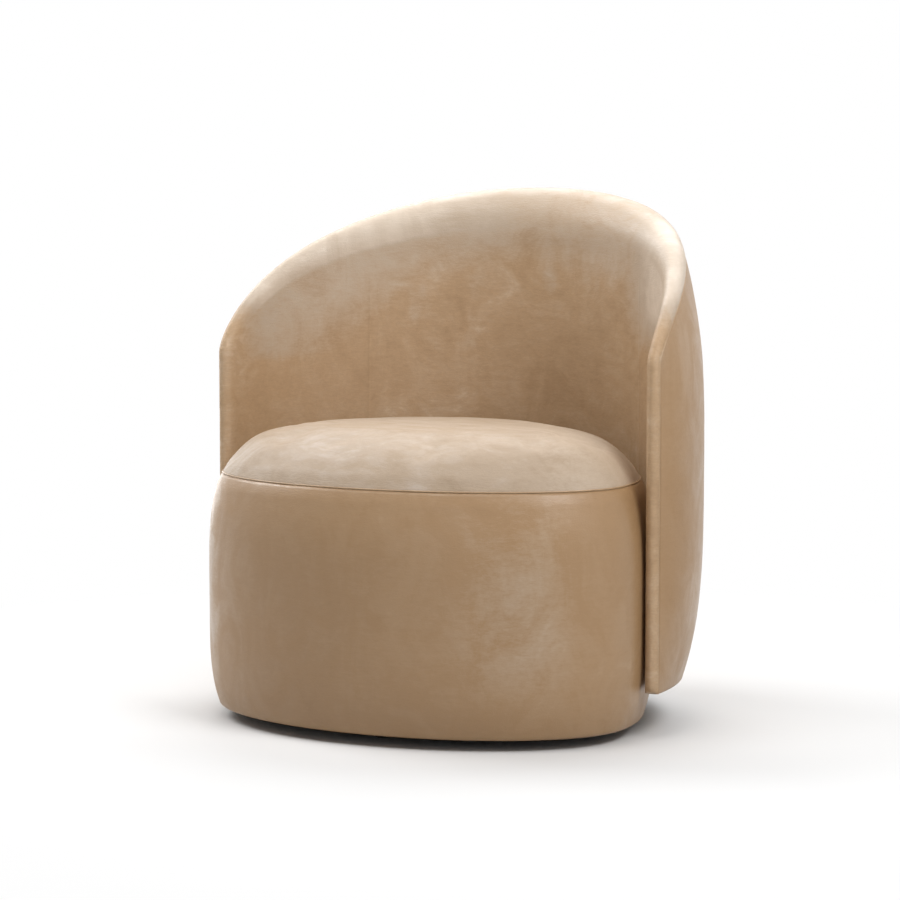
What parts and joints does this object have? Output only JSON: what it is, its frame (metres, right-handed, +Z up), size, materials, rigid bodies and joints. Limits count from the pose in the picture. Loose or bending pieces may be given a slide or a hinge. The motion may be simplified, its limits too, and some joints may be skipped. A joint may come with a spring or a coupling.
{
  "type": "swivel lounge chair",
  "caption": "Tub lounge chair in tan leather: a rounded seat drum inside a thin wrap-around back shell, on a recessed swivel base.",
  "frame": {"origin": "middle of the footprint, on the floor", "axes": "+Z up, the chair faces -Y, +X to the right as seen from the front"},
  "size_m": [0.801, 0.7189, 0.8226],
  "materials": {
    "leather": "satin",
    "foam": "matte",
    "plywood": "matte",
    "black_board": "satin",
    "steel": "satin",
    "nylon": "matte",
    "black_cloth": "matte"
  },
  "bodies": {
    "base": {"floor_glides": "nylon", "base_disc": "black_board", "swivel_lower_plate": "steel", "lower_plate_screws": "steel", "swivel_pin": "steel"},
    "ball_ring": {"ball_retainer": "steel", "swivel_balls": "steel"},
    "seat": {"swivel_upper_plate": "steel", "upper_plate_bolts": "steel", "upper_plate_nuts": "steel", "skirt_ring": "plywood", "bottom_board": "plywood", "drum_posts": "plywood", "seat_rail": "plywood", "drum_wrap_board": "plywood", "seat_springs": "steel", "spring_clips": "steel", "deck_cloth": "black_cloth", "seat_foam": "foam", "drum_side_padding": "foam", "drum_side_cover": "leather", "seat_top_cover": "leather", "seat_welt": "leather", "dust_cover": "black_cloth", "shell_bottom_rib": "plywood", "shell_seat_rib": "plywood", "shell_upper_rib": "plywood", "shell_top_rail": "plywood", "shell_posts": "plywood", "shell_board": "plywood", "back_webbing": "black_cloth", "inner_back_foam": "foam", "outer_back_padding": "foam", "inner_back_cover": "leather", "outer_back_cover": "leather", "back_welt": "leather", "shell_bolts": "steel", "shell_inserts": "steel"}
  },
  "joints": [
    {"name": "swivel", "type": "hinge", "parent": "base", "child": "seat", "pos_m": [0, -0.06875, 0.033], "axis": [0, 0, 1], "continuous": true},
    {"name": "ball_ring_turn", "type": "hinge", "parent": "base", "child": "ball_ring", "pos_m": [0, -0.06875, 0.033], "axis": [0, 0, 1], "continuous": true}
  ],
  "couplings": [
    {"joint": "ball_ring_turn", "follows": "swivel", "ratio": 0.5}
  ]
}
